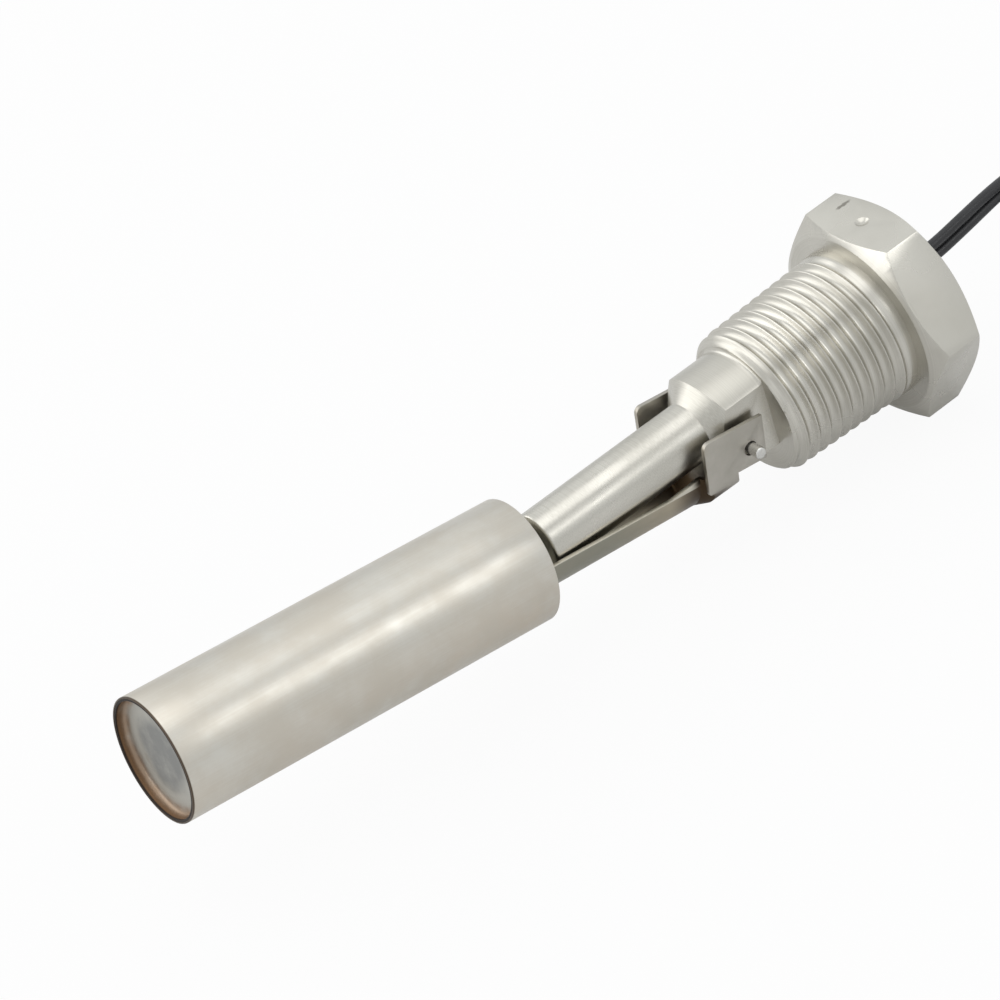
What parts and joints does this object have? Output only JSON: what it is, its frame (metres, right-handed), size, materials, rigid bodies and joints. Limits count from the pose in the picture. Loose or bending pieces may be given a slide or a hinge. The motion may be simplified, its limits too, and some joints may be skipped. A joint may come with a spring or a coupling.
{
  "type": "float level switch",
  "caption": "Side-mounted liquid level switch: hexagon plug with a tapered pipe thread, closed sensing stem and a hinged tubular float, with flying leads.",
  "frame": {"origin": "on the pipe thread's axis, at the front face of the hexagon", "axes": "+X along the thread from the hexagon to the float, +Y along the hinge pins, +Z away from the side the float arm hinges on"},
  "size_m": [0.1822, 0.0332, 0.0322],
  "materials": {
    "turned_stainless": "fine turned",
    "pin_stainless": "smooth",
    "sheet_stainless": "rolled sheet, heat tint near the welds",
    "float_stainless": "brushed lengthwise",
    "cap_stainless": "drawn, heat tint round the rim",
    "magnet": "sintered, dull",
    "holder_plastic": "moulded",
    "glass": "clear, faint green",
    "reed_alloy": "plated",
    "splice_metal": "crimped",
    "sleeve_plastic": "shrunk tube",
    "resin": "cast epoxy",
    "lead_cover": "extruded, satin",
    "tie_plastic": "moulded nylon",
    "tinned_wire": "tinned strands"
  },
  "bodies": {
    "plug": {"plug_body": "turned_stainless", "hinge_pin_left": "pin_stainless", "hinge_pin_right": "pin_stainless", "reed_glass": "glass", "reed_blade_front": "reed_alloy", "reed_blade_rear": "reed_alloy", "splice_upper": "splice_metal", "splice_lower": "splice_metal", "splice_sleeve_upper": "sleeve_plastic", "splice_sleeve_lower": "sleeve_plastic", "lead_inside_upper": "lead_cover", "lead_inside_lower": "lead_cover", "potting_resin": "resin", "lead_wire_upper": "lead_cover", "lead_wire_lower": "lead_cover", "lead_coil": "lead_cover", "coil_tie": "tie_plastic", "lead_tip_upper": "tinned_wire", "lead_tip_lower": "tinned_wire"},
    "float_arm": {"hinge_bracket": "sheet_stainless", "float_tube": "float_stainless", "float_inner_cap": "cap_stainless", "float_outer_cap": "cap_stainless", "float_magnet": "magnet", "magnet_holder": "holder_plastic"}
  },
  "joints": [
    {"name": "float_hinge", "type": "hinge", "parent": "plug", "child": "float_arm", "pos_m": [0.025, 0, 0], "axis": [0, 1, 0], "range_deg": [0, 76]}
  ]
}
